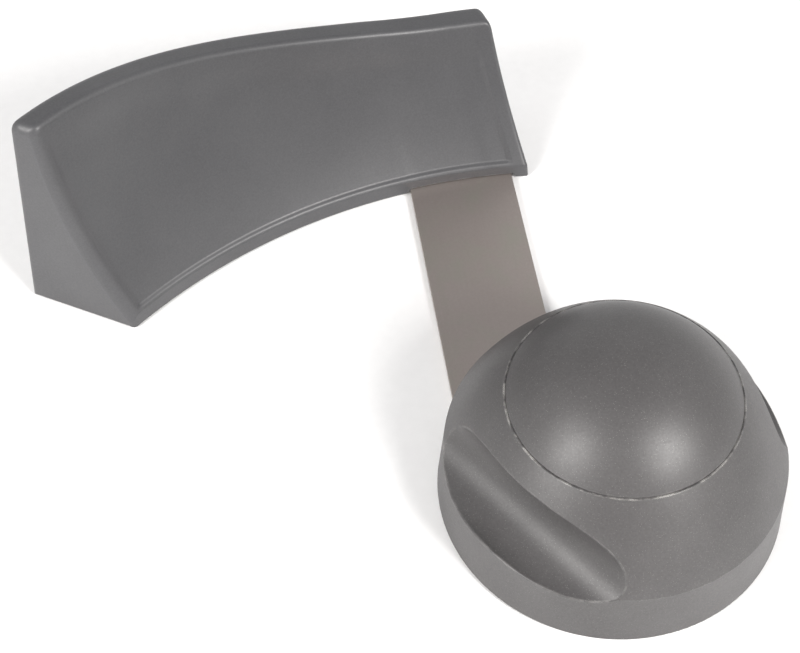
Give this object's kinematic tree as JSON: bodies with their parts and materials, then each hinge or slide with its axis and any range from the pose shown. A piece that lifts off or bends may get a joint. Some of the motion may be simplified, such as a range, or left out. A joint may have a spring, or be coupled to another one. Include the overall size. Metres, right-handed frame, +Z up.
{
  "type": "floor door holder",
  "caption": "Floor door holder: dome stop on a floor pivot carrying a spring-steel strip with a tall curved fin that grips the door leaf against the dome.",
  "frame": {"origin": "on the floor, at the centre of the ring of floor screw holes, on the axis of the pivot", "axes": "+Z up along the pivot axis; the strip runs along +Y on the -X side of the pivot; the fin curves from its end towards -X"},
  "size_m": [0.1387, 0.1342, 0.053],
  "materials": {
    "dome_plastic": "satin moulded plastic",
    "fin_plastic": "satin moulded plastic",
    "spring_steel": "satin rolled spring steel",
    "zinc_plate": "zinc plated steel",
    "slip_nylon": "natural nylon",
    "nut_nylon": "blue nylon",
    "bronze": "sintered bronze",
    "brass_insert": "knurled brass",
    "glide_felt": "hard felt pad"
  },
  "bodies": {
    "floor_mount": {"floor_plate": "zinc_plate", "pivot_post": "zinc_plate", "lower_slip_ring": "slip_nylon", "upper_slip_ring": "slip_nylon", "thrust_washer": "zinc_plate", "disc_spring": "spring_steel", "lock_nut": "zinc_plate", "nut_insert": "nut_nylon"},
    "holder": {"dome_body": "dome_plastic", "dome_cap": "dome_plastic", "pivot_bush": "bronze", "spring_strip": "spring_steel", "strip_screws": "zinc_plate", "thread_inserts": "brass_insert", "fin_shell": "fin_plastic", "fin_base": "fin_plastic", "fin_base_screws": "zinc_plate", "fin_glides": "glide_felt", "fin_clamp_plate": "zinc_plate", "fin_clamp_screws": "zinc_plate"}
  },
  "joints": [
    {"name": "swivel", "type": "hinge", "parent": "floor_mount", "child": "holder", "pos_m": [0, 0, 0], "axis": [0, 0, 1], "continuous": true}
  ]
}
